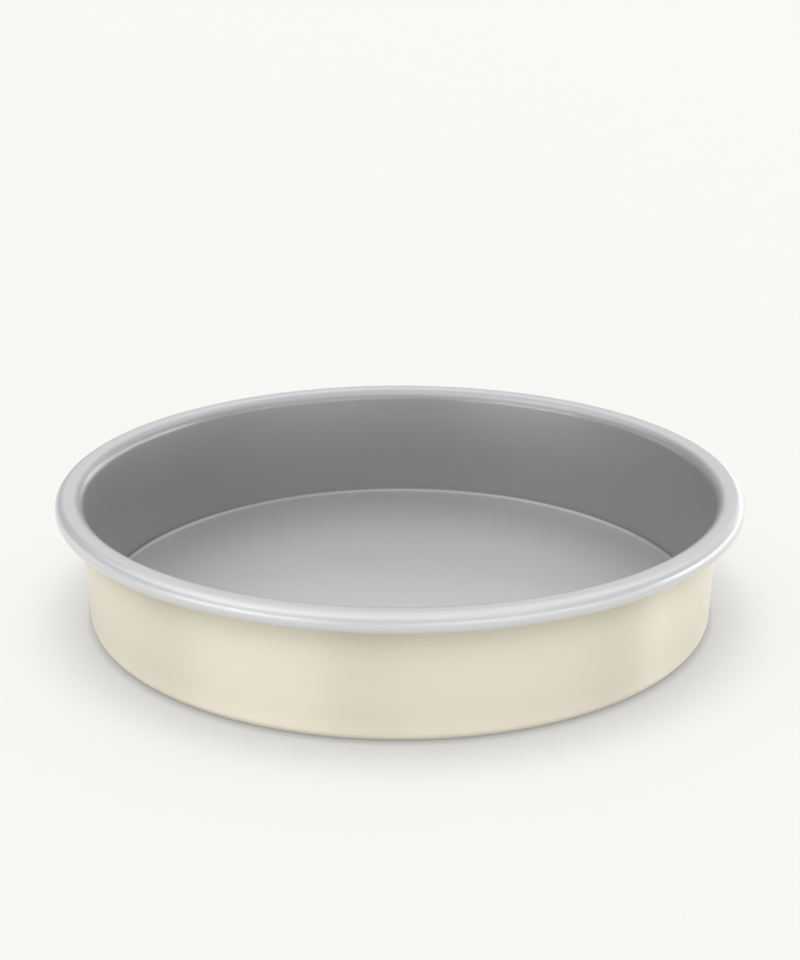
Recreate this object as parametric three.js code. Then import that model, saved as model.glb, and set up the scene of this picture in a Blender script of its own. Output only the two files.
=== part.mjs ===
// Round baking pan with a wired rim, in millimetres, +Z up.
// The origin is the centre of the underside, on the surface that the pan stands on.
//
// The pan is one drawn steel sheet. Its wall bends out over a lip, and the edge is curled around a steel
// wire. A grey release lining covers the food side and, because the curl turns that side outwards, the
// bead as well. A cream enamel covers the other side up to the root of the rim.
//
// Every layer is a solid of revolution between two offsets of one profile, measured from the food side.

import * as THREE from 'three';

// Driving dimensions
const TOP_BORE = 229; // inside diameter of the lined wall where the lip begins, a nine-inch pan
const HEIGHT = 47.3; // table to the top of the rim
const WALL_DRAFT = 1.6; // degrees that the wall leans out, so that a cake drops free
const FLOOR_FILLET = 2; // inside radius between floor and wall
const LIP_RADIUS = 4.6; // food-side radius of the bend at the top of the wall
const SHEET = 0.8; // steel thickness
const LINING = 0.1; // release coat thickness
const ENAMEL = 0.1; // outer coat thickness
const PRIMER = 0.02; // bond line between the steel and each coat
const WIRE_DIAMETER = 5; // steel wire inside the rim
const WIRE_CLEARANCE = 0.1; // play between the wire and the curl
const CURL_BACK_GAP = 1.9; // free space between the enamelled wall and the back of the curl
const CURL_MOUTH = 1.6; // opening between the cut edge of the curl and the underside of the rim

// Facets
const AROUND = 64; // facets around the pan
const FILLET_STEPS = 3;
const LIP_STEPS = 4;
const CURL_STEPS = 10;
const WIRE_SIDES = 12;

// Offsets of the faces from the food side of the pan
const STEEL_FACE = LINING + PRIMER;
const STEEL_BACK = STEEL_FACE + SHEET;
const ENAMEL_FACE = STEEL_BACK + PRIMER;
const WALL = ENAMEL_FACE + ENAMEL;

// Angles of the profile, in the plane of radius and height, anticlockwise from straight out
const QUARTER = Math.PI / 2;
const DRAFT = THREE.MathUtils.degToRad(WALL_DRAFT);

// The lip turns about a centre outside the wall, and the bead about the wire
const lipStart = HEIGHT - LIP_RADIUS + LIP_RADIUS * Math.sin(DRAFT);
const lipCentre = new THREE.Vector2(TOP_BORE / 2 + LIP_RADIUS * Math.cos(DRAFT), HEIGHT - LIP_RADIUS);
const beadRadius = WIRE_DIAMETER / 2 + WIRE_CLEARANCE + STEEL_BACK;
const beadClearOfWall = TOP_BORE / 2 + WALL / Math.cos(DRAFT) + CURL_BACK_GAP + beadRadius;
const wireCentre = new THREE.Vector2(Math.max(lipCentre.x, beadClearOfWall), HEIGHT - beadRadius);

// The curl runs down the outside, under the wire and up its back, and stops short of the rim's underside
const curlEndRise = beadRadius - WALL - CURL_MOUTH;
const curlEnd = -Math.PI - Math.asin(curlEndRise / beadRadius);

// The floor fillet turns about a centre inside the pan, tangent to the floor and to the leaning wall
const filletHeight = WALL + FLOOR_FILLET;
const wallAtFillet = TOP_BORE / 2 - (lipStart - filletHeight) * Math.tan(DRAFT);
const filletCentre = new THREE.Vector2(wallAtFillet - FLOOR_FILLET / Math.cos(DRAFT), filletHeight);

/** Points on an arc, from one angle to another. */
function arc(centre, radius, from, to, steps) {
  return new THREE.EllipseCurve(centre.x, centre.y, radius, radius, from, to, to < from).getPoints(steps);
}

/** One face of the pan from its axis to the top of the lip, at an offset from the food side. */
function bowlFace(offset) {
  return [
    new THREE.Vector2(0, WALL - offset),
    ...arc(filletCentre, FLOOR_FILLET + offset, -QUARTER, -DRAFT, FILLET_STEPS),
    ...arc(lipCentre, LIP_RADIUS - offset, Math.PI - DRAFT, QUARTER, LIP_STEPS),
  ];
}

/** One face of the curled rim, from the top of the bead to the cut edge behind the wire. */
function curlFace(offset) {
  return arc(wireCentre, beadRadius - offset, QUARTER, curlEnd, CURL_STEPS);
}

/** The whole food side or its opposite, from the axis over the rim to the cut edge of the curl. */
function fullFace(offset) {
  return [...bowlFace(offset), ...curlFace(offset)];
}

/** A solid of revolution between an outer face and a food-side face that both start on the axis. */
function layer(outerFace, foodFace) {
  return revolve([...outerFace, ...foodFace.reverse()]);
}

/** Turns a profile of radius and height around the pan's axis. */
function revolve(profile) {
  return new THREE.LatheGeometry(profile, AROUND).rotateX(QUARTER);
}

/** A closed ring of round wire around the pan's axis. */
function wireRing(centre, diameter) {
  const section = arc(centre, diameter / 2, 0, 2 * Math.PI, WIRE_SIDES);
  section[section.length - 1].copy(section[0]);
  return revolve(section);
}

/** A named piece with its own finish. */
function piece(name, geometry, finish) {
  const mesh = new THREE.Mesh(geometry, new THREE.MeshStandardMaterial(finish));
  mesh.name = name;
  return mesh;
}

const pressedShell = piece('pressed_shell', layer(fullFace(STEEL_BACK), fullFace(STEEL_FACE)), {
  color: 0xa9adb2,
  roughness: 0.45,
  metalness: 1,
});

const rimWire = piece('rim_wire', wireRing(wireCentre, WIRE_DIAMETER), {
  color: 0x9da1a6,
  roughness: 0.4,
  metalness: 1,
});

const releaseLining = piece('release_lining', layer(fullFace(LINING), fullFace(0)), {
  color: 0xa3a5a8,
  roughness: 0.38,
  metalness: 0,
});

const outerEnamel = piece('outer_enamel', layer(bowlFace(WALL), bowlFace(ENAMEL_FACE)), {
  color: 0xe2dac2,
  roughness: 0.42,
  metalness: 0,
});

const pan = new THREE.Group();
pan.name = 'round_baking_pan';
pan.add(pressedShell, rimWire, releaseLining, outerEnamel);

export default pan;
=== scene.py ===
"""Looks of a round baking pan with a wired rim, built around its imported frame, in metres, +Z up.

The pan is one drawn steel sheet whose edge is curled around a wire. A grey release lining covers the food
side and the bead, and a cream enamel covers the other side up to the root of the rim. Every layer follows one
profile of radius and height, at its own distance from the food side, and is turned about the pan's axis.
"""

import logging
import math
from dataclasses import dataclass
from enum import Enum

import bpy
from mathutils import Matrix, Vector


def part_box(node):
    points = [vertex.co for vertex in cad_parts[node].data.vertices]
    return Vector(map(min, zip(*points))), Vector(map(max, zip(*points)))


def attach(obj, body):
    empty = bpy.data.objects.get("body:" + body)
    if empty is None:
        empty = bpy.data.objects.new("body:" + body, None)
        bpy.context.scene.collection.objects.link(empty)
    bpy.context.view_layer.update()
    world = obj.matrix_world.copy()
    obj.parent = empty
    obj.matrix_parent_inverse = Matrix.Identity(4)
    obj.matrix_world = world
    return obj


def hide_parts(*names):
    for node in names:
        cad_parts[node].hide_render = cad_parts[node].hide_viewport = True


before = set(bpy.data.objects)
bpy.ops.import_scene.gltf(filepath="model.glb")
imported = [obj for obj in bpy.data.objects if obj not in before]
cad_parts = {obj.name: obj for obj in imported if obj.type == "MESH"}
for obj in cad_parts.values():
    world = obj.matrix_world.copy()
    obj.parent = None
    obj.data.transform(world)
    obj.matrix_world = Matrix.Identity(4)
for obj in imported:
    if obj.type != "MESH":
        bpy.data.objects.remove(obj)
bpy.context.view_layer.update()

MM = 0.001
BODY = "root"
QUARTER_TURN = math.pi / 2
FULL_TURN = math.tau
ORIGIN = (0, 0, 0)

Colour = tuple[float, float, float]
Socket = bpy.types.NodeSocket
Outlets = bpy.types.NodeOutputs
log = logging.getLogger("baking_pan")


class Layer(Enum):
    """The CAD nodes of the pan, from the food side out."""

    LINING = "release_lining"
    SHEET = "pressed_shell"
    WIRE = "rim_wire"
    ENAMEL = "outer_enamel"


class Slot(Enum):
    """The pieces' material slots."""

    RELEASE_COAT = "grey_release_coat"
    SHEET_STEEL = "coated_steel"
    WIRE_STEEL = "wire_steel"
    CREAM_ENAMEL = "cream_enamel"


class GrainRun(Enum):
    """Which way the grain of bare steel runs."""

    ALONG_SHEET = "along the sheet"
    AROUND_RING = "around the ring"


class Side(Enum):
    """Which way the floor of a drawn face looks."""

    FOOD = 1
    TABLE = -1


@dataclass(frozen=True)
class Point:
    """A place in the pan's half section.

    Attributes:
        r: Distance from the pan's axis.
        z: Height above the table.
    """

    r: float
    z: float


@dataclass(frozen=True)
class PanSizes:
    """The sizes that fix the pan's half section.

    Attributes:
        height: Table to the top of the rim.
        lip_centre: Centre of the bend at the top of the wall.
        wire_centre: Centre of the wire's section.
        wire_diameter: Thickness of the wire.
        steel_face: Food side to the near face of the steel.
        enamel_face: Food side to the near face of the enamel.
        wall: Whole thickness of the coated wall.
        lining: Thickness of the release lining.
        primer: Bond line between the steel and each coat.
        lip_radius: Food-side radius of the bend at the top of the wall.
        floor_fillet: Food-side radius between floor and wall.
        wall_draft: Lean of the wall, in radians.
        curl_mouth: Opening between the curl's cut edge and the underside of the rim.
    """

    height: float
    lip_centre: Point
    wire_centre: Point
    wire_diameter: float
    steel_face: float
    enamel_face: float
    wall: float
    lining: float = 0.1 * MM
    primer: float = 0.02 * MM
    lip_radius: float = 4.6 * MM
    floor_fillet: float = 2.0 * MM
    wall_draft: float = math.radians(1.6)
    curl_mouth: float = 1.6 * MM

    @classmethod
    def from_frame(cls) -> "PanSizes":
        """Reads what the CAD solids' boxes give.

        Returns:
            The sizes, with the bends and the thin films at their own named values.
        """
        lining_low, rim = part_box(Layer.LINING.value)
        top = rim.z
        enamel_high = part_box(Layer.ENAMEL.value)[1]
        wire_low, wire_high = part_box(Layer.WIRE.value)
        wire_z = (wire_low.z + wire_high.z) / 2
        bead_radius = top - wire_z
        return cls(
            height=top,
            lip_centre=Point(enamel_high.x, top - cls.lip_radius),
            wire_centre=Point(rim.x - bead_radius, wire_z),
            wire_diameter=wire_high.z - wire_low.z,
            steel_face=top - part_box(Layer.SHEET.value)[1].z,
            enamel_face=top - enamel_high.z,
            wall=lining_low.z + cls.lining,
        )

    @property
    def sheet(self) -> float:
        """Thickness of the steel."""
        return self.enamel_face - self.primer - self.steel_face

    @property
    def enamel(self) -> float:
        """Thickness of the enamel."""
        return self.wall - self.enamel_face

    @property
    def bead_radius(self) -> float:
        """Radius of the lined bead's section."""
        return self.height - self.wire_centre.z

    @property
    def curl_sweep(self) -> float:
        """Angle that the curl turns through, from the top of the bead to its cut edge."""
        rise = self.bead_radius - self.wall - self.curl_mouth
        return QUARTER_TURN + math.pi + math.asin(rise / self.bead_radius)

    @property
    def fillet_centre(self) -> Point:
        """Finds where the floor fillet is turned from.

        Returns:
            Its centre, which makes it tangent to the floor and to the leaning wall.
        """
        z = self.wall + self.floor_fillet
        wall_top_r = self.lip_centre.r - self.lip_radius * math.cos(self.wall_draft)
        wall_top_z = self.lip_centre.z + self.lip_radius * math.sin(self.wall_draft)
        wall_r = wall_top_r - (wall_top_z - z) * math.tan(self.wall_draft)
        return Point(wall_r - self.floor_fillet / math.cos(self.wall_draft), z)


SIZES = PanSizes.from_frame()


class ProfilePen:
    """Draws a half section as a chain of edges, then turns it about the pan's axis."""

    START_SIZE = 1.0 * MM
    MERGE = 0.001 * MM
    SECTION_AXIS = (0, 1, 0)
    PAN_AXIS = (0, 0, 1)

    def __init__(self, name: str, start: Point) -> None:
        """Sets the pen down.

        Args:
            name: Name of the piece.
            start: First point of the profile.
        """
        bpy.ops.object.select_all(action="DESELECT")
        bpy.ops.mesh.primitive_plane_add(size=self.START_SIZE, location=ORIGIN)
        self.piece = bpy.context.object
        self.piece.name = name
        self.piece.data.name = name
        bpy.ops.object.mode_set(mode="EDIT")
        bpy.ops.mesh.select_all(action="SELECT")
        bpy.ops.mesh.merge(type="CENTER")
        bpy.ops.transform.translate(value=(start.r, 0, start.z))
        self.at = start

    def line_to(self, end: Point, rings: int) -> None:
        """Extrudes straight to a point.

        Args:
            end: Where the line ends.
            rings: Equal steps along the line.
        """
        step = ((end.r - self.at.r) / rings, 0, (end.z - self.at.z) / rings)
        for _ in range(rings):
            bpy.ops.mesh.extrude_vertices_move(TRANSFORM_OT_translate={"value": step})
        self.at = end

    def arc(self, centre: Point, sweep: float, rings: int) -> None:
        """Spins the pen's vertex about a centre in the half section.

        Args:
            centre: Centre of the arc.
            sweep: Angle turned through, anticlockwise with the axis on the left.
            rings: Equal steps along the arc.
        """
        bpy.ops.mesh.spin(steps=rings, angle=sweep, center=(centre.r, 0, centre.z), axis=self.SECTION_AXIS)
        arm_r = self.at.r - centre.r
        arm_z = self.at.z - centre.z
        cos, sin = math.cos(sweep), math.sin(sweep)
        self.at = Point(centre.r + arm_r * cos - arm_z * sin, centre.z + arm_r * sin + arm_z * cos)

    def turn(self, around: int, side: Side | None = None) -> bpy.types.Object:
        """Spins the whole profile about the pan's axis and closes the seam and the pole.

        Args:
            around: Facets around the pan.
            side: Which way the floor of an open face looks; a closed shape needs none.

        Returns:
            The turned surface, with its faces pointing out.
        """
        bpy.ops.mesh.select_all(action="SELECT")
        bpy.ops.mesh.spin(steps=around, angle=FULL_TURN, center=ORIGIN, axis=self.PAN_AXIS)
        bpy.ops.mesh.select_all(action="SELECT")
        bpy.ops.mesh.remove_doubles(threshold=self.MERGE)
        bpy.ops.mesh.normals_make_consistent(inside=False)
        bpy.ops.object.mode_set(mode="OBJECT")
        if side is not None and self.floor_normal_z() * side.value < 0:
            bpy.ops.object.mode_set(mode="EDIT")
            bpy.ops.mesh.flip_normals()
            bpy.ops.object.mode_set(mode="OBJECT")
        return self.piece

    def floor_normal_z(self) -> float:
        """Returns the upward part of the normal of the face nearest to the axis."""
        nearest = min(self.piece.data.polygons, key=lambda face: face.center.xy.length)
        return nearest.normal.z


@dataclass(frozen=True)
class MeshFineness:
    """Facets of the turned pieces.

    Attributes:
        around: Facets around the pan.
        floor: Rings on the flat floor.
        fillet: Rings on the floor fillet.
        wall: Rings on the wall.
        lip: Rings on the bend at the top of the wall.
        land: Rings on the flat between the bend and the bead.
        curl: Rings on the curl.
        wire: Sides of the wire.
    """

    around: int = 288
    floor: int = 8
    fillet: int = 12
    wall: int = 10
    lip: int = 14
    land: int = 3
    curl: int = 40
    wire: int = 24


@dataclass(frozen=True)
class PanProfile:
    """One face of the sheet, at any distance from the food side.

    Attributes:
        sizes: Sizes of the half section.
        fineness: Facets of the turned pieces.
    """

    sizes: PanSizes
    fineness: MeshFineness

    def bowl(self, name: str, offset: float) -> ProfilePen:
        """Draws floor, fillet, wall and lip.

        Args:
            name: Name of the piece.
            offset: Distance from the food side.

        Returns:
            The pen, at the top of the lip.
        """
        s, f = self.sizes, self.fineness
        floor_z = s.wall - offset
        fillet = s.fillet_centre
        lip_arm = s.lip_radius - offset
        pen = ProfilePen(name, Point(0, floor_z))
        pen.line_to(Point(fillet.r, floor_z), f.floor)
        pen.arc(fillet, QUARTER_TURN - s.wall_draft, f.fillet)
        lip_foot = Point(
            s.lip_centre.r - lip_arm * math.cos(s.wall_draft),
            s.lip_centre.z + lip_arm * math.sin(s.wall_draft),
        )
        pen.line_to(lip_foot, f.wall)
        pen.arc(s.lip_centre, s.wall_draft - QUARTER_TURN, f.lip)
        return pen

    def whole(self, name: str, offset: float) -> ProfilePen:
        """Draws the bowl and goes on over the rim to the cut edge of the curl.

        Args:
            name: Name of the piece.
            offset: Distance from the food side.

        Returns:
            The pen, at the cut edge.
        """
        s, f = self.sizes, self.fineness
        pen = self.bowl(name, offset)
        pen.line_to(Point(s.wire_centre.r, s.height - offset), f.land)
        pen.arc(s.wire_centre, -s.curl_sweep, f.curl)
        return pen


class Modifiers:
    """Finishing steps, each a modifier that is applied at once."""

    BEHIND = -1
    SMOOTH_BELOW = math.radians(35)
    EDGE_ABOVE = math.radians(60)
    EDGE_STEPS = 3

    @classmethod
    def thicken(cls, piece: bpy.types.Object, thickness: float) -> None:
        """Gives a turned face its wall, away from the side that it shows.

        Args:
            piece: The turned face.
            thickness: Thickness of the wall.
        """
        solid = piece.modifiers.new("wall", "SOLIDIFY")
        solid.thickness = thickness
        solid.offset = cls.BEHIND
        solid.use_even_offset = True
        bpy.ops.object.modifier_apply(modifier=solid.name)

    @classmethod
    def round_edges(cls, piece: bpy.types.Object, width: float) -> None:
        """Rounds the sharp edges that are left where a layer ends.

        Args:
            piece: A closed piece.
            width: Width of the rounding.
        """
        bevel = piece.modifiers.new("edge", "BEVEL")
        bevel.limit_method = "ANGLE"
        bevel.angle_limit = cls.EDGE_ABOVE
        bevel.width = width
        bevel.segments = cls.EDGE_STEPS
        bpy.ops.object.modifier_apply(modifier=bevel.name)

    @classmethod
    def smooth(cls, piece: bpy.types.Object) -> None:
        """Shades a piece smooth across its small bends.

        Args:
            piece: A finished piece.
        """
        bpy.ops.object.select_all(action="DESELECT")
        piece.select_set(True)
        bpy.context.view_layer.objects.active = piece
        bpy.ops.object.shade_smooth_by_angle(angle=cls.SMOOTH_BELOW)


class NodeBench:
    """Adds nodes to one tree and wires them."""

    LEVEL = (1.0, 1.0, 0.0)
    MIX_FACTOR, MIX_ONE, MIX_OTHER = 0, 6, 7
    MIX_RESULT = 2

    def __init__(self, tree: bpy.types.NodeTree) -> None:
        """Takes up a tree.

        Args:
            tree: The material's, group's or world's node tree.
        """
        self.tree = tree

    @classmethod
    def blank(cls, owner: bpy.types.Material | bpy.types.World) -> "NodeBench":
        """Takes up an owner's own tree, emptied.

        Args:
            owner: A new material or world.

        Returns:
            A bench on the empty tree.
        """
        owner.use_nodes = True
        owner.node_tree.nodes.clear()
        return cls(owner.node_tree)

    def add(self, kind: str, inputs: dict | None = None, **settings: object) -> bpy.types.Node:
        """Adds a node.

        Args:
            kind: The node's type.
            inputs: Socket name or number to a value, or to the output that feeds it.
            settings: The node's own properties.

        Returns:
            The node.
        """
        node = self.tree.nodes.new(kind)
        for name, value in settings.items():
            setattr(node, name, value)
        for key, value in (inputs or {}).items():
            if isinstance(value, Socket):
                self.tree.links.new(value, node.inputs[key])
            else:
                node.inputs[key].default_value = value
        return node

    def math(self, operation: str, *values: object) -> Socket:
        """Adds a Math node and returns its output."""
        return self.add("ShaderNodeMath", dict(enumerate(values)), operation=operation).outputs[0]

    def vector(self, operation: str, *values: object) -> Socket:
        """Adds a Vector Math node and returns its vector."""
        return self.add("ShaderNodeVectorMath", dict(enumerate(values)), operation=operation).outputs[0]

    def dot(self, one: object, other: object) -> Socket:
        """Adds a dot product and returns its value."""
        node = self.add("ShaderNodeVectorMath", {0: one, 1: other}, operation="DOT_PRODUCT")
        return node.outputs["Value"]

    def noise(self, place: Socket, scale: object, detail: float = 2.0) -> Socket:
        """Adds a Noise Texture and returns its value."""
        inputs = {"Vector": place, "Scale": scale, "Detail": detail}
        return self.add("ShaderNodeTexNoise", inputs).outputs["Fac"]

    def reach(self, place: Socket) -> Socket:
        """Measures how far a place is from the pan's axis.

        Args:
            place: Object coordinates.

        Returns:
            The distance.
        """
        level = self.vector("MULTIPLY", place, self.LEVEL)
        node = self.add("ShaderNodeVectorMath", {0: level}, operation="LENGTH")
        return node.outputs["Value"]

    def ramp(self, value: object, low: object, high: object) -> Socket:
        """Maps a value to 0 at low and 1 at high, with an eased step.

        Args:
            value: What to map.
            low: The value that gives 0.
            high: The value that gives 1.

        Returns:
            The mapped value.
        """
        node = self.add(
            "ShaderNodeMapRange",
            {"Value": value, "From Min": low, "From Max": high, "To Min": 0.0, "To Max": 1.0},
            interpolation_type="SMOOTHSTEP",
        )
        return node.outputs["Result"]

    def beyond(self, value: Socket, edge: Socket, half_blend: Socket) -> Socket:
        """Marks where a value is past an edge.

        Args:
            value: What to test.
            edge: The value halfway through the step.
            half_blend: Half the width of the step.

        Returns:
            1 past the edge and 0 before it.
        """
        low = self.math("SUBTRACT", edge, half_blend)
        high = self.math("ADD", edge, half_blend)
        return self.ramp(value, low, high)

    def shade(self, colour: Socket, masks: Outlets, tones: dict[str, float]) -> Socket:
        """Paints shade or light into a colour, as a tone in each masked zone.

        Args:
            colour: The even colour.
            masks: Masks of the zones.
            tones: Name of each mask to the tone of its zone, 1 where it is unchanged.

        Returns:
            The shaded colour.
        """
        total: object = 1.0
        for name, tone in tones.items():
            total = self.math("MULTIPLY_ADD", masks[name], tone - 1.0, total)
        return self.vector("MULTIPLY", colour, total)

    def mix(self, factor: Socket, one: object, other: object) -> Socket:
        """Mixes two colours.

        Args:
            factor: 0 for the first colour, 1 for the second.
            one: First colour, as three numbers or a socket.
            other: Second colour, likewise.

        Returns:
            The mixed colour.
        """
        one, other = (value if isinstance(value, Socket) else (*value, 1.0) for value in (one, other))
        inputs = {self.MIX_FACTOR: factor, self.MIX_ONE: one, self.MIX_OTHER: other}
        return self.add("ShaderNodeMix", inputs, data_type="RGBA").outputs[self.MIX_RESULT]


class EffectGroup:
    """A shader node group with named sockets, built once."""

    name = "effect"
    takes: dict[str, str] = {}
    gives: tuple[str, ...] = ()

    @classmethod
    def tree(cls) -> bpy.types.NodeTree:
        """Finds the group, and builds it the first time.

        Returns:
            The group's tree.
        """
        made = bpy.data.node_groups.get(cls.name)
        if made is not None:
            return made
        made = bpy.data.node_groups.new(cls.name, "ShaderNodeTree")
        for name, kind in cls.takes.items():
            made.interface.new_socket(name, in_out="INPUT", socket_type=kind)
        for name in cls.gives:
            made.interface.new_socket(name, in_out="OUTPUT", socket_type="NodeSocketFloat")
        bench = NodeBench(made)
        inlet = bench.add("NodeGroupInput")
        outlet = bench.add("NodeGroupOutput")
        for name, socket in cls.fill(bench, inlet.outputs).items():
            made.links.new(socket, outlet.inputs[name])
        return made

    @classmethod
    def fill(cls, bench: NodeBench, inlet: Outlets) -> dict[str, Socket]:
        """Builds the group's nodes.

        Args:
            bench: The group's tree.
            inlet: The group's inputs.

        Returns:
            Output name to the socket that feeds it.
        """
        raise NotImplementedError

    @classmethod
    def place(cls, bench: NodeBench, label: str = "", **values: object) -> Outlets:
        """Puts the group into a tree.

        Args:
            bench: The tree that uses it.
            label: What its node is called there, if it has a name of its own.
            values: Input name, with _ for each space, to its value or socket.

        Returns:
            The group's outputs.
        """
        inputs = {name.replace("_", " "): value for name, value in values.items()}
        return bench.add("ShaderNodeGroup", inputs, node_tree=cls.tree(), label=label).outputs


class CoatGrain(EffectGroup):
    """Sprayed coat: broad clouding, fine flakes and the orange peel of a cured film."""

    name = "coat_grain"
    takes = {
        "Place": "NodeSocketVector",
        "Cloud Size": "NodeSocketFloat",
        "Flake Size": "NodeSocketFloat",
        "Peel Size": "NodeSocketFloat",
    }
    gives = ("Cloud", "Flake", "Peel")

    CLOUD_DETAIL = 3.0
    PEEL_DETAIL = 1.0
    FLAKE_EDGE = 0.32
    FLAKE_SHARE = 0.55

    @classmethod
    def fill(cls, bench: NodeBench, inlet: Outlets) -> dict[str, Socket]:
        """Builds the clouding, flakes and peel from noise at three sizes.

        Args:
            bench: The group's tree.
            inlet: The group's inputs.

        Returns:
            Output name to the socket that feeds it.
        """
        place = inlet["Place"]
        cloud_scale, flake_scale, peel_scale = (
            bench.math("DIVIDE", 1.0, inlet[size]) for size in ("Cloud Size", "Flake Size", "Peel Size")
        )
        cells = bench.add("ShaderNodeTexVoronoi", {"Vector": place, "Scale": flake_scale}, feature="F1")
        spot = bench.ramp(cells.outputs["Distance"], cls.FLAKE_EDGE, 0.0)
        chance = bench.add("ShaderNodeSeparateColor", {"Color": cells.outputs["Color"]})
        chosen = bench.ramp(chance.outputs[0], cls.FLAKE_SHARE, 1.0)
        return {
            "Cloud": bench.noise(place, cloud_scale, cls.CLOUD_DETAIL),
            "Flake": bench.math("MULTIPLY", spot, chosen),
            "Peel": bench.noise(place, peel_scale, cls.PEEL_DETAIL),
        }


class WipeMarks(EffectGroup):
    """Hairlines left by wiping a round pan: fine arcs about its axis, broken up along their length."""

    name = "wipe_marks"
    takes = {
        "Place": "NodeSocketVector",
        "Spacing": "NodeSocketFloat",
        "Length": "NodeSocketFloat",
    }
    gives = ("Mark",)

    FAINT = 0.58
    PLAIN = 0.72

    @classmethod
    def fill(cls, bench: NodeBench, inlet: Outlets) -> dict[str, Socket]:
        """Stretches noise around the axis, in radius, arc and height.

        Args:
            bench: The group's tree.
            inlet: The group's inputs.

        Returns:
            Output name to the socket that feeds it.
        """
        x, y, z = bench.add("ShaderNodeSeparateXYZ", {0: inlet["Place"]}).outputs
        r = bench.reach(inlet["Place"])
        angle = bench.math("ARCTAN2", y, x)
        across = bench.math("DIVIDE", bench.math("ADD", r, z), inlet["Spacing"])
        along = bench.math("DIVIDE", bench.math("MULTIPLY", angle, r), inlet["Length"])
        stretched = bench.add("ShaderNodeCombineXYZ", {0: across, 1: along}).outputs[0]
        return {"Mark": bench.ramp(bench.noise(stretched, 1.0), cls.FAINT, cls.PLAIN)}


class PaintedShadingZones(EffectGroup):
    """Zones of painted light on a coat: painted shade in the tight corner at the floor and on the wall, a
    painted highlight on the rolled bead.
    """

    name = "painted_shading_zones"
    takes = {
        "Place": "NodeSocketVector",
        "Floor Height": "NodeSocketFloat",
        "Floor Reach": "NodeSocketFloat",
        "Lip Reach": "NodeSocketFloat",
        "Bead Reach": "NodeSocketFloat",
        "Blend": "NodeSocketFloat",
    }
    gives = ("Corner", "Wall", "Bead")

    @classmethod
    def fill(cls, bench: NodeBench, inlet: Outlets) -> dict[str, Socket]:
        """Fades the zones into each other by radius and by height above the floor.

        Args:
            bench: The group's tree.
            inlet: The group's inputs.

        Returns:
            Output name to the socket that feeds it.
        """
        blend = inlet["Blend"]
        half = bench.math("DIVIDE", blend, 2.0)
        reach = bench.reach(inlet["Place"])
        height = bench.add("ShaderNodeSeparateXYZ", {0: inlet["Place"]}).outputs["Z"]
        above = bench.math("SUBTRACT", height, inlet["Floor Height"])
        off_floor, over_lip, on_bead = (
            bench.beyond(reach, inlet[edge], half) for edge in ("Floor Reach", "Lip Reach", "Bead Reach")
        )
        low_down = bench.math("SUBTRACT", 1.0, bench.ramp(above, half, blend))
        raised = bench.ramp(above, 0.0, blend)
        short_of_lip = bench.math("SUBTRACT", 1.0, over_lip)
        # Corner and Wall carry painted shade, Bead a painted highlight.
        return {
            "Corner": bench.math("MULTIPLY", off_floor, low_down),
            "Wall": bench.math("MULTIPLY", raised, short_of_lip),
            "Bead": on_bead,
        }


class PaintedHeightBands(EffectGroup):
    """Bands of painted light by height: a painted shadow under the bead, and painted light at the foot of the
    wall.
    """

    name = "painted_height_bands"
    takes = {
        "Place": "NodeSocketVector",
        "Shelter From": "NodeSocketFloat",
        "Shelter Full": "NodeSocketFloat",
        "Foot From": "NodeSocketFloat",
        "Foot Full": "NodeSocketFloat",
    }
    gives = ("Shelter", "Foot")

    @classmethod
    def fill(cls, bench: NodeBench, inlet: Outlets) -> dict[str, Socket]:
        """Fades the two bands by height, the upper one late.

        Args:
            bench: The group's tree.
            inlet: The group's inputs.

        Returns:
            Output name to the socket that feeds it.
        """
        height = bench.add("ShaderNodeSeparateXYZ", {0: inlet["Place"]}).outputs["Z"]
        rise = bench.ramp(height, inlet["Shelter From"], inlet["Shelter Full"])
        # Shelter marks the painted shadow under the bead, Foot the painted light at the foot of the wall.
        return {
            "Shelter": bench.math("MULTIPLY", rise, rise),
            "Foot": bench.ramp(height, inlet["Foot From"], inlet["Foot Full"]),
        }


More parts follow.
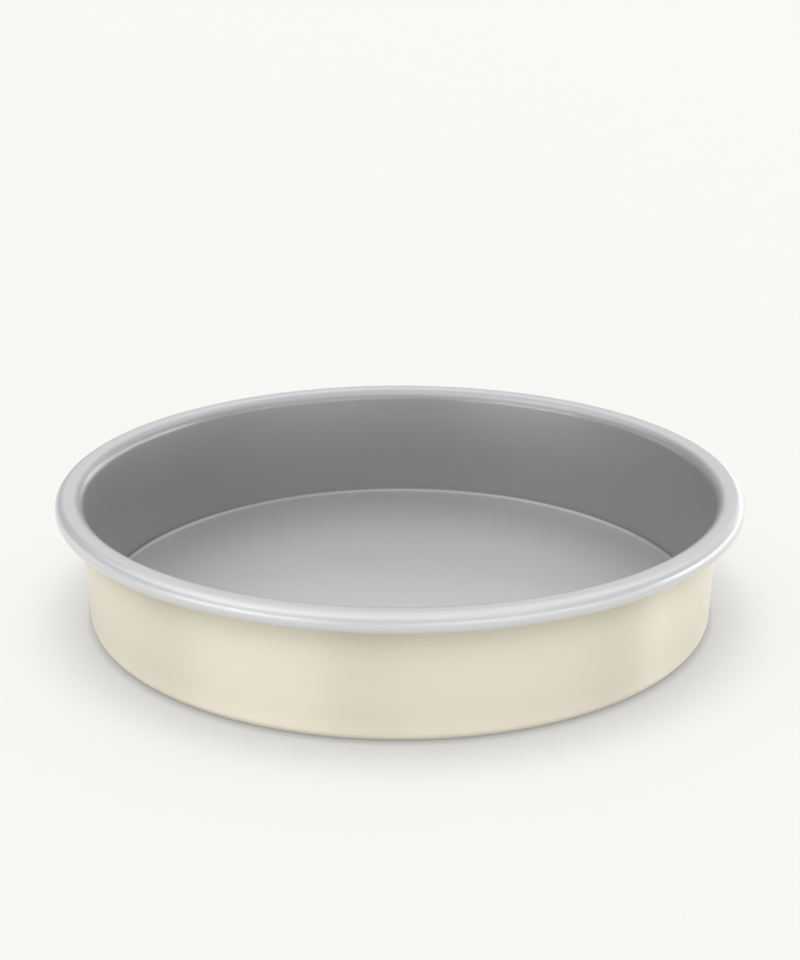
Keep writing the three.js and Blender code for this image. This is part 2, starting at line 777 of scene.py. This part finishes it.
@dataclass(frozen=True, kw_only=True)
class SatinCoat:
    """A cured satin coat on steel.

    Attributes:
        name: Name of the material.
        colour: Main colour.
        cloud_colour: Colour of the broad clouding.
        flake_colour: Colour of the flakes in the film.
        flake_strength: How much a flake shows.
        roughness: Main roughness.
        roughness_spread: Change of roughness over the clouding.
        mark_roughness: Roughness that a wipe mark adds.
        peel_size: Width of the orange peel.
        peel_height: Depth of the orange peel.
        flake_size: Width of a flake.
        ior: Index of refraction of the film.
        metal: Share of metal flake in the film.
        stretch: How far the sheen is drawn out up and down the wall.
        gloss_layer: Weight of the clear top film.
        gloss_roughness: Roughness of the clear top film.
    """

    name: str
    colour: Colour
    cloud_colour: Colour
    flake_colour: Colour
    flake_strength: float
    roughness: float
    roughness_spread: float
    mark_roughness: float
    peel_size: float
    peel_height: float
    flake_size: float
    ior: float = 1.5
    metal: float = 0.0
    stretch: float = 0.0
    gloss_layer: float = 0.0
    gloss_roughness: float = 0.1

    CLOUD_SIZE = 45 * MM
    CLOUD_MIDDLE = 0.5
    MARK_SPACING = 0.35 * MM
    MARK_LENGTH = 60 * MM
    UP_THE_WALL = 0.25

    def material(self) -> bpy.types.Material:
        """Mixes the coat.

        Returns:
            The coat's material.
        """
        made = bpy.data.materials.new(self.name)
        bench = NodeBench.blank(made)
        place = bench.add("ShaderNodeTexCoord").outputs["Object"]
        grain = CoatGrain.place(
            bench,
            Place=place,
            Cloud_Size=self.CLOUD_SIZE,
            Flake_Size=self.flake_size,
            Peel_Size=self.peel_size,
        )
        marks = WipeMarks.place(bench, Place=place, Spacing=self.MARK_SPACING, Length=self.MARK_LENGTH)
        clouded = bench.mix(grain["Cloud"], self.colour, self.cloud_colour)
        flake = bench.math("MULTIPLY", grain["Flake"], self.flake_strength)
        # Here the coat's colour takes its painted shade and light.
        colour = self.toned(bench, place, bench.mix(flake, clouded, self.flake_colour))
        cloud_swing = bench.math("SUBTRACT", grain["Cloud"], self.CLOUD_MIDDLE)
        base = bench.math("MULTIPLY_ADD", cloud_swing, self.roughness_spread, self.roughness)
        rough = bench.math("MULTIPLY_ADD", marks["Mark"], self.mark_roughness, base)
        bump = bench.add("ShaderNodeBump", {"Height": grain["Peel"], "Distance": self.peel_height})
        around = bench.add("ShaderNodeTangent", direction_type="RADIAL", axis="Z")
        shader = bench.add(
            "ShaderNodeBsdfPrincipled",
            {
                "Base Color": colour,
                "Roughness": rough,
                "Normal": bump.outputs["Normal"],
                "IOR": self.ior,
                "Metallic": self.metal,
                "Anisotropic": self.stretch,
                "Anisotropic Rotation": self.UP_THE_WALL,
                "Tangent": around.outputs[0],
                "Coat Weight": self.gloss_layer,
                "Coat Roughness": self.gloss_roughness,
            },
        )
        bench.add("ShaderNodeOutputMaterial", {"Surface": shader.outputs[0]})
        return made

    def toned(self, bench: NodeBench, place: Socket, colour: Socket) -> Socket:
        """Paints shade and light into a colour by its place on the pan.

        Args:
            bench: The material's tree.
            place: Object coordinates.
            colour: The colour of the even coat.

        Returns:
            The shaded colour.
        """
        raise NotImplementedError


@dataclass(frozen=True, kw_only=True)
class ZonePaintedShadingCoat(SatinCoat):
    """A satin coat with painted shade in the corner at the floor and on the wall, and a painted highlight on
    the bead.

    Attributes:
        corner_painted_shade: Painted shade in the corner at the floor, as a tone, 1 where it is unchanged.
        wall_painted_shade: Painted shade on the wall, as a tone.
        bead_painted_highlight: Painted highlight on the outside of the bead, as a tone.
        floor_height: Height of the floor.
        floor_reach: Radius where the corner begins.
        lip_reach: Radius where the painted shade of the wall ends, on the lip.
        bead_reach: Radius where the painted highlight of the bead begins.
        blend: Width over which one zone turns into the next.
    """

    corner_painted_shade: float
    wall_painted_shade: float
    bead_painted_highlight: float
    floor_height: float
    floor_reach: float
    lip_reach: float
    bead_reach: float
    blend: float

    def toned(self, bench: NodeBench, place: Socket, colour: Socket) -> Socket:
        """Paints shade and a highlight into a colour by zone.

        Args:
            bench: The material's tree.
            place: Object coordinates.
            colour: The colour of the even coat.

        Returns:
            The colour, with painted shade in the corner and on the wall and a painted highlight on the bead.
        """
        zones = PaintedShadingZones.place(
            bench,
            Place=place,
            Floor_Height=self.floor_height,
            Floor_Reach=self.floor_reach,
            Lip_Reach=self.lip_reach,
            Bead_Reach=self.bead_reach,
            Blend=self.blend,
        )
        # Painted shade in the corner and on the wall, and a painted highlight on the bead.
        tones = {"Corner": self.corner_painted_shade, "Wall": self.wall_painted_shade, "Bead": self.bead_painted_highlight}
        return bench.shade(colour, zones, tones)


@dataclass(frozen=True, kw_only=True)
class HeightPaintedShadingCoat(SatinCoat):
    """A satin coat with painted light by height: a painted shadow under the bead, and painted light at the
    foot of the wall.

    Attributes:
        shelter_painted_shadow: Painted shadow right under the bead, as a tone, 1 where it is unchanged.
        foot_painted_light: Painted light at the foot of the wall, as a tone.
        shelter_from: Height where the painted shadow under the bead begins.
        shelter_full: Height where it is complete.
        foot_from: Height where the painted light at the foot begins.
        foot_full: Height where it is complete.
    """

    shelter_painted_shadow: float
    foot_painted_light: float
    shelter_from: float
    shelter_full: float
    foot_from: float
    foot_full: float

    def toned(self, bench: NodeBench, place: Socket, colour: Socket) -> Socket:
        """Paints shade and light into a colour by height.

        Args:
            bench: The material's tree.
            place: Object coordinates.
            colour: The colour of the even coat.

        Returns:
            The colour, with a painted shadow under the bead and painted light at the foot.
        """
        bands = PaintedHeightBands.place(
            bench,
            Place=place,
            Shelter_From=self.shelter_from,
            Shelter_Full=self.shelter_full,
            Foot_From=self.foot_from,
            Foot_Full=self.foot_full,
        )
        # A painted shadow under the bead, and painted light at the foot of the wall.
        return bench.shade(colour, bands, {"Shelter": self.shelter_painted_shadow, "Foot": self.foot_painted_light})


@dataclass(frozen=True)
class BareSteel:
    """Bare steel with a fine grain.

    Attributes:
        name: Name of the material.
        colour: Main colour.
        stain_colour: Colour in the broad clouding.
        roughness: Main roughness.
        grain: Which way the grain runs.
    """

    name: str
    colour: Colour
    stain_colour: Colour
    roughness: float
    grain: GrainRun

    GRAIN_SPACING = 0.12 * MM
    GRAIN_LENGTH = 9 * MM
    GRAIN_ROUGHNESS = 0.18
    GRAIN_DEPTH = 0.004 * MM
    STAIN_SIZE = 20 * MM
    STAIN_DETAIL = 3.0

    def material(self) -> bpy.types.Material:
        """Mixes the steel.

        Returns:
            The steel's material.
        """
        made = bpy.data.materials.new(self.name)
        bench = NodeBench.blank(made)
        place = bench.add("ShaderNodeTexCoord").outputs["Object"]
        if self.grain is GrainRun.AROUND_RING:
            marks = WipeMarks.place(
                bench, Place=place, Spacing=self.GRAIN_SPACING, Length=self.GRAIN_LENGTH
            )
            grain = marks["Mark"]
        else:
            stretch = (1 / self.GRAIN_LENGTH, 1 / self.GRAIN_SPACING, 1 / self.GRAIN_SPACING)
            grain = bench.noise(bench.vector("MULTIPLY", place, stretch), 1.0)
        stain = bench.noise(place, 1 / self.STAIN_SIZE, self.STAIN_DETAIL)
        colour = bench.mix(stain, self.colour, self.stain_colour)
        rough = bench.math("MULTIPLY_ADD", grain, self.GRAIN_ROUGHNESS, self.roughness)
        bump = bench.add("ShaderNodeBump", {"Height": grain, "Distance": self.GRAIN_DEPTH})
        shader = bench.add(
            "ShaderNodeBsdfPrincipled",
            {"Base Color": colour, "Roughness": rough, "Normal": bump.outputs["Normal"], "Metallic": 1.0},
        )
        bench.add("ShaderNodeOutputMaterial", {"Surface": shader.outputs[0]})
        return made


# Sizes of the zones where shade and a highlight are painted on the lining, and of the painted shadow under
# the bead on the enamel.
ZONE_BLEND = 1.8 * MM
LIP_SHOULDER = 2.1 * MM
BEAD_SHOULDER = 1.5 * MM
SHELTER_DEPTH = 20 * MM
SHELTER_BELOW_LIP = 0.7 * MM

RELEASE_COAT = ZonePaintedShadingCoat(
    name="grey_release_coat",
    colour=(0.610, 0.616, 0.630),
    cloud_colour=(0.625, 0.631, 0.645),
    flake_colour=(0.72, 0.73, 0.75),
    flake_strength=0.35,
    roughness=0.5,
    roughness_spread=0.05,
    mark_roughness=0.04,
    peel_size=1.4 * MM,
    peel_height=0.004 * MM,
    flake_size=0.22 * MM,
    metal=0.8,
    gloss_layer=1.0,
    gloss_roughness=0.24,
    # Painted shade in the corner and on the wall, and a painted highlight on the bead.
    corner_painted_shade=0.63,
    wall_painted_shade=0.69,
    bead_painted_highlight=1.03,
    floor_height=SIZES.wall,
    floor_reach=SIZES.fillet_centre.r + ZONE_BLEND / 2,
    lip_reach=SIZES.lip_centre.r - LIP_SHOULDER,
    bead_reach=SIZES.wire_centre.r + BEAD_SHOULDER,
    blend=ZONE_BLEND,
)
CREAM_ENAMEL = HeightPaintedShadingCoat(
    name="cream_enamel",
    colour=(0.760, 0.710, 0.585),
    cloud_colour=(0.775, 0.725, 0.600),
    flake_colour=(0.86, 0.81, 0.70),
    flake_strength=0.25,
    roughness=0.40,
    roughness_spread=0.05,
    mark_roughness=0.03,
    peel_size=1.8 * MM,
    peel_height=0.005 * MM,
    flake_size=0.4 * MM,
    metal=0.4,
    stretch=0.9,
    # Painted shadow under the bead, and painted light at the foot of the wall.
    shelter_painted_shadow=0.66,
    foot_painted_light=1.1,
    shelter_from=SIZES.lip_centre.z - SHELTER_BELOW_LIP - SHELTER_DEPTH,
    shelter_full=SIZES.lip_centre.z - SHELTER_BELOW_LIP,
    foot_from=10 * MM,
    foot_full=2.5 * MM,
)
SHEET_STEEL = BareSteel(
    name="aluminised_sheet",
    colour=(0.60, 0.61, 0.62),
    stain_colour=(0.52, 0.53, 0.55),
    roughness=0.34,
    grain=GrainRun.ALONG_SHEET,
)
WIRE_STEEL = BareSteel(
    name="drawn_wire",
    colour=(0.52, 0.53, 0.55),
    stain_colour=(0.44, 0.45, 0.47),
    roughness=0.28,
    grain=GrainRun.AROUND_RING,
)


@dataclass
class PanPiece:
    """One layer of the pan.

    Attributes:
        name: Name of the piece.
        layer: The CAD node that it stands for.
        slot: The material slot that it stands for; not used.
        finish: Its finish.
        profile: The profile that it follows.
    """

    name: str
    layer: Layer
    slot: Slot
    finish: SatinCoat | BareSteel
    profile: PanProfile

    EDGE_SHARE = 0.3

    def build(self) -> bpy.types.Object:
        """Models the piece.

        Returns:
            The finished mesh object.
        """
        raise NotImplementedError

    def skin(self, pen: ProfilePen, side: Side, thickness: float) -> bpy.types.Object:
        """Turns a drawn face into a closed layer.

        Args:
            pen: The pen at the end of the face.
            side: Which way the face looks.
            thickness: Thickness of the layer, behind the face.

        Returns:
            The layer, with the edges where it ends rounded.
        """
        piece = pen.turn(self.profile.fineness.around, side)
        Modifiers.thicken(piece, thickness)
        Modifiers.round_edges(piece, thickness * self.EDGE_SHARE)
        return piece

    def dress(self, piece: bpy.types.Object) -> None:
        """Gives the piece its finish.

        Args:
            piece: The finished mesh object.
        """
        Modifiers.smooth(piece)
        piece.data.materials.clear()
        piece.data.materials.append(self.finish.material())

    def seat(self, piece: bpy.types.Object) -> None:
        """Sets the piece on the pan's body in place of its CAD node.

        Args:
            piece: The finished mesh object.
        """
        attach(piece, BODY)
        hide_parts(self.layer.value)

    def make(self) -> bpy.types.Object:
        """Builds, dresses and seats the piece.

        Returns:
            The finished mesh object.
        """
        piece = self.build()
        self.dress(piece)
        self.seat(piece)
        return piece


class ReleaseLining(PanPiece):
    """The grey coat on the food side and over the bead."""

    def build(self) -> bpy.types.Object:
        """Models the lining from the food side in."""
        return self.skin(self.profile.whole(self.name, 0.0), Side.FOOD, self.profile.sizes.lining)


class DrawnSheet(PanPiece):
    """The drawn steel with its curled edge."""

    def build(self) -> bpy.types.Object:
        """Models the steel behind the lining."""
        sizes = self.profile.sizes
        return self.skin(self.profile.whole(self.name, sizes.steel_face), Side.FOOD, sizes.sheet)


class OuterEnamel(PanPiece):
    """The cream coat on the underside and the outside of the wall."""

    def build(self) -> bpy.types.Object:
        """Models the enamel from its outer face in."""
        sizes = self.profile.sizes
        return self.skin(self.profile.bowl(self.name, sizes.wall), Side.TABLE, sizes.enamel)


class RimWire(PanPiece):
    """The ring of wire inside the bead."""

    def build(self) -> bpy.types.Object:
        """Models the wire's section and turns it into a ring.

        Returns:
            The ring.
        """
        sizes, fineness = self.profile.sizes, self.profile.fineness
        centre = sizes.wire_centre
        pen = ProfilePen(self.name, Point(centre.r + sizes.wire_diameter / 2, centre.z))
        pen.arc(centre, FULL_TURN, fineness.wire)
        return pen.turn(fineness.around)


@dataclass(frozen=True)
class BakingPan:
    """The whole pan.

    Attributes:
        profile: The profile that its layers share.
    """

    profile: PanProfile

    def make(self) -> list[bpy.types.Object]:
        """Makes every piece of the pan.

        Returns:
            The finished pieces.
        """
        pieces = (
            DrawnSheet("drawn_sheet", Layer.SHEET, Slot.SHEET_STEEL, SHEET_STEEL, self.profile),
            RimWire("rim_wire_ring", Layer.WIRE, Slot.WIRE_STEEL, WIRE_STEEL, self.profile),
            ReleaseLining("grey_lining", Layer.LINING, Slot.RELEASE_COAT, RELEASE_COAT, self.profile),
            OuterEnamel("cream_outside", Layer.ENAMEL, Slot.CREAM_ENAMEL, CREAM_ENAMEL, self.profile),
        )
        return [piece.make() for piece in pieces]


class SoftPanel(EffectGroup):
    """The outline of a soft light panel in the sky, seen from the pan."""

    name = "soft_panel"
    takes = {
        "Look": "NodeSocketVector",
        "Aim": "NodeSocketVector",
        "Across": "NodeSocketVector",
        "Up": "NodeSocketVector",
        "Half Width": "NodeSocketFloat",
        "Half Height": "NodeSocketFloat",
        "Softness": "NodeSocketFloat",
    }
    gives = ("Panel",)

    NEAREST = 0.001

    @classmethod
    def fill(cls, bench: NodeBench, inlet: Outlets) -> dict[str, Socket]:
        """Fades a rectangle in the plane that the panel stands in.

        Args:
            bench: The group's tree.
            inlet: The group's inputs.

        Returns:
            Output name to the socket that feeds it.
        """
        ahead = bench.dot(inlet["Look"], inlet["Aim"])
        depth = bench.math("MAXIMUM", ahead, cls.NEAREST)
        sides = []
        for axis, half in (("Across", "Half Width"), ("Up", "Half Height")):
            aside = bench.math("DIVIDE", bench.dot(inlet["Look"], inlet[axis]), depth)
            inside = bench.math("SUBTRACT", inlet[half], bench.math("ABSOLUTE", aside))
            soft = bench.math("DIVIDE", inside, inlet["Softness"])
            sides.append(bench.ramp(soft, -1.0, 1.0))
        both = bench.math("MULTIPLY", *sides)
        return {"Panel": bench.math("MULTIPLY", both, bench.math("GREATER_THAN", ahead, cls.NEAREST))}


@dataclass(frozen=True)
class LightPanel:
    """One soft light panel.

    Attributes:
        name: What it does.
        azimuth: Degrees to the right of the viewer's side, seen from the pan.
        elevation: Degrees above the table.
        wide: Half its width, in degrees.
        high: Half its height, in degrees.
        soft: Fade at its edges, in degrees.
        glow: Radiance that it adds.
    """

    name: str
    azimuth: float
    elevation: float
    wide: float
    high: float
    soft: float
    glow: float

    def axes(self) -> tuple[Vector, Vector, Vector]:
        """Works out how the panel stands.

        Returns:
            The directions to the panel, across it and up it.
        """
        a, e = math.radians(self.azimuth), math.radians(self.elevation)
        aim = Vector((math.sin(a) * math.cos(e), -math.cos(a) * math.cos(e), math.sin(e)))
        across = Vector((math.cos(a), math.sin(a), 0.0))
        return aim, across, across.cross(aim)


@dataclass(frozen=True)
class SoftStudio:
    """A pale sweep under a light tent, with a few soft panels.

    Attributes:
        tent: Radiance of the tent, all round.
        backdrop: What the camera sees past the floor.
        panels: The soft light panels.
    """

    tent: float
    backdrop: Colour
    panels: tuple[LightPanel, ...]

    def light(self) -> None:
        """Builds the world that lights the pan."""
        world = bpy.data.worlds.new("soft_studio")
        bpy.context.scene.world = world
        bench = NodeBench.blank(world)
        look = bench.add("ShaderNodeTexCoord").outputs["Generated"]
        total: object = self.tent
        for panel in self.panels:
            aim, across, up = panel.axes()
            shape = SoftPanel.place(
                bench,
                panel.name,
                Look=look,
                Aim=aim,
                Across=across,
                Up=up,
                Half_Width=math.tan(math.radians(panel.wide)),
                Half_Height=math.tan(math.radians(panel.high)),
                Softness=math.tan(math.radians(panel.soft)),
            )
            total = bench.math("MULTIPLY_ADD", shape["Panel"], panel.glow, total)
        seen = bench.add("ShaderNodeLightPath").outputs["Is Camera Ray"]
        lit = bench.add("ShaderNodeBackground", {"Color": total})
        plain = bench.add("ShaderNodeBackground", {"Color": (*self.backdrop, 1.0)})
        both = bench.add("ShaderNodeMixShader", {0: seen, 1: lit.outputs[0], 2: plain.outputs[0]})
        bench.add("ShaderNodeOutputWorld", {"Surface": both.outputs[0]})


@dataclass(frozen=True)
class PaleFloor:
    """The plain pale floor.

    Attributes:
        half_size: Half its side.
        drop: Gap under the pan.
        colour: Its colour.
        shade_colour: Colour in its faint mottling.
        contact: Reach of the dark line, a painted contact shadow, where the pan touches it.
        contact_painted_shadow: Tone of that line.
    """

    half_size: float = 20.0
    drop: float = 0.05 * MM
    colour: Colour = (0.2000, 0.1983, 0.1935)
    shade_colour: Colour = (0.1985, 0.1968, 0.1920)
    contact: float = 3.0 * MM
    contact_painted_shadow: float = 0.6

    MOTTLE_SIZE = 60 * MM
    ROUGHNESS = 0.9
    SPECULAR = 0.1

    def make(self) -> bpy.types.Object:
        """Lays the floor.

        Returns:
            The floor.
        """
        bpy.ops.object.select_all(action="DESELECT")
        bpy.ops.mesh.primitive_plane_add(size=2 * self.half_size, location=ORIGIN)
        floor = bpy.context.object
        floor.name = "pale_floor"
        bpy.ops.object.mode_set(mode="EDIT")
        bpy.ops.mesh.select_all(action="SELECT")
        bpy.ops.transform.translate(value=(0, 0, -self.drop))
        bpy.ops.object.mode_set(mode="OBJECT")
        floor.data.materials.append(self.material())
        return floor

    def material(self) -> bpy.types.Material:
        """Mixes the floor's matt finish.

        Returns:
            The floor's material.
        """
        made = bpy.data.materials.new("pale_floor")
        bench = NodeBench.blank(made)
        place = bench.add("ShaderNodeTexCoord").outputs["Object"]
        mottle = bench.noise(place, 1 / self.MOTTLE_SIZE)
        colour = bench.mix(mottle, self.colour, self.shade_colour)
        # Painted contact shadow: the floor's colour darkens where ambient occlusion finds the pan close by.
        unshadowed_share = bench.add("ShaderNodeAmbientOcclusion", {"Distance": self.contact}).outputs["AO"]
        tone = bench.math("MULTIPLY_ADD", unshadowed_share, 1.0 - self.contact_painted_shadow, self.contact_painted_shadow)
        shader = bench.add(
            "ShaderNodeBsdfPrincipled",
            {
                "Base Color": bench.vector("MULTIPLY", colour, tone),
                "Roughness": self.ROUGHNESS,
                "Specular IOR Level": self.SPECULAR,
            },
        )
        bench.add("ShaderNodeOutputMaterial", {"Surface": shader.outputs[0]})
        return made


@dataclass(frozen=True)
class SweepLight:
    """A broad light overhead that only the floor takes, so that the shadow keeps close to the pan.

    Attributes:
        name: What it does.
        strength: Irradiance on the floor.
        spread: Angle that the light fills, in degrees.
        shadow: Whether the pan casts a shadow in it.
    """

    name: str
    strength: float
    spread: float
    shadow: bool

    def make(self, floor: bpy.types.Object) -> bpy.types.Object:
        """Hangs the light.

        Args:
            floor: The floor.

        Returns:
            The light.
        """
        only = bpy.data.collections.new(self.name)
        only.objects.link(floor)
        bpy.ops.object.light_add(type="SUN", location=ORIGIN)
        light = bpy.context.object
        light.name = self.name
        light.data.energy = self.strength
        light.data.angle = math.radians(self.spread)
        light.data.use_shadow = self.shadow
        light.light_linking.receiver_collection = only
        return light


@dataclass(frozen=True)
class Viewpoint:
    """The camera, standing where the photograph was taken from.

    Attributes:
        distance: Level distance from the pan's axis.
        height: Height above the table.
        pitch: Degrees that it looks down.
        focal_share: Focal length as a share of the picture's long side.
        sensor: Width of the sensor along the picture's long side, in millimetres.
    """

    distance: float
    height: float
    pitch: float
    focal_share: float
    sensor: float = 36.0

    def make(self) -> bpy.types.Object:
        """Sets up the camera.

        Returns:
            The camera.
        """
        tilt = QUARTER_TURN - math.radians(self.pitch)
        bpy.ops.object.camera_add(location=(0, -self.distance, self.height), rotation=(tilt, 0, 0))
        camera = bpy.context.object
        camera.name = "viewpoint"
        camera.data.sensor_width = self.sensor
        camera.data.lens = self.focal_share * self.sensor
        bpy.context.scene.camera = camera
        return camera


STUDIO = SoftStudio(
    tent=0.40,
    backdrop=(0.945, 0.937, 0.918),
    panels=(
        LightPanel("overhead_front", azimuth=-4, elevation=57, wide=42, high=17, soft=8, glow=0.76),
        LightPanel("front_mid", azimuth=0, elevation=27, wide=55, high=12, soft=8, glow=0.16),
        LightPanel("overhead", azimuth=0, elevation=90, wide=40, high=24, soft=8, glow=0.7),
        LightPanel("left_high", azimuth=-92, elevation=48, wide=28, high=14, soft=6, glow=0.97),
        LightPanel("right_high", azimuth=95, elevation=42, wide=28, high=10, soft=6, glow=0.34),
        LightPanel("back_low", azimuth=180, elevation=12, wide=40, high=6, soft=3, glow=0.11),
        LightPanel("back_mid", azimuth=176, elevation=23, wide=25, high=8, soft=3, glow=0.5),
        LightPanel("back_sweep", azimuth=161, elevation=52, wide=38, high=14, soft=6, glow=0.8),
        LightPanel("back_right", azimuth=146, elevation=22, wide=14, high=9, soft=4, glow=0.15),
        LightPanel("low_left_front", azimuth=-49, elevation=4, wide=25, high=4, soft=1.5, glow=5.1),
        LightPanel("low_right_front", azimuth=33, elevation=4, wide=33, high=4, soft=1.5, glow=3.25),
        LightPanel("low_right", azimuth=97, elevation=4, wide=7, high=4, soft=1.5, glow=8.5),
        LightPanel("low_right_back", azimuth=122, elevation=4, wide=16, high=4, soft=1.5, glow=3.2),
        LightPanel("low_back_right", azimuth=149, elevation=6, wide=11, high=8, soft=1.5, glow=1.9),
        LightPanel("low_left_back", azimuth=-112, elevation=4, wide=16, high=4, soft=1.5, glow=1.6),
    ),
)
FLOOR_LIGHTS = (
    SweepLight("floor_key", strength=4.0, spread=42, shadow=True),
    SweepLight("floor_fill", strength=7.3, spread=42, shadow=False),
)
VIEWPOINT = Viewpoint(distance=0.5409, height=0.2359, pitch=19.363, focal_share=1.6231)


def main() -> None:
    """Builds the pan, its studio and the camera, in that order."""
    logging.basicConfig(level=logging.INFO, format="%(name)s: %(message)s")
    pan = BakingPan(PanProfile(SIZES, MeshFineness()))
    for piece in pan.make():
        log.info("%s has %d faces", piece.name, len(piece.data.polygons))
    floor = PaleFloor().make()
    for light in FLOOR_LIGHTS:
        light.make(floor)
    STUDIO.light()
    VIEWPOINT.make()
    bpy.context.scene.view_settings.view_transform = "Standard"


if __name__ == "__main__":
    main()
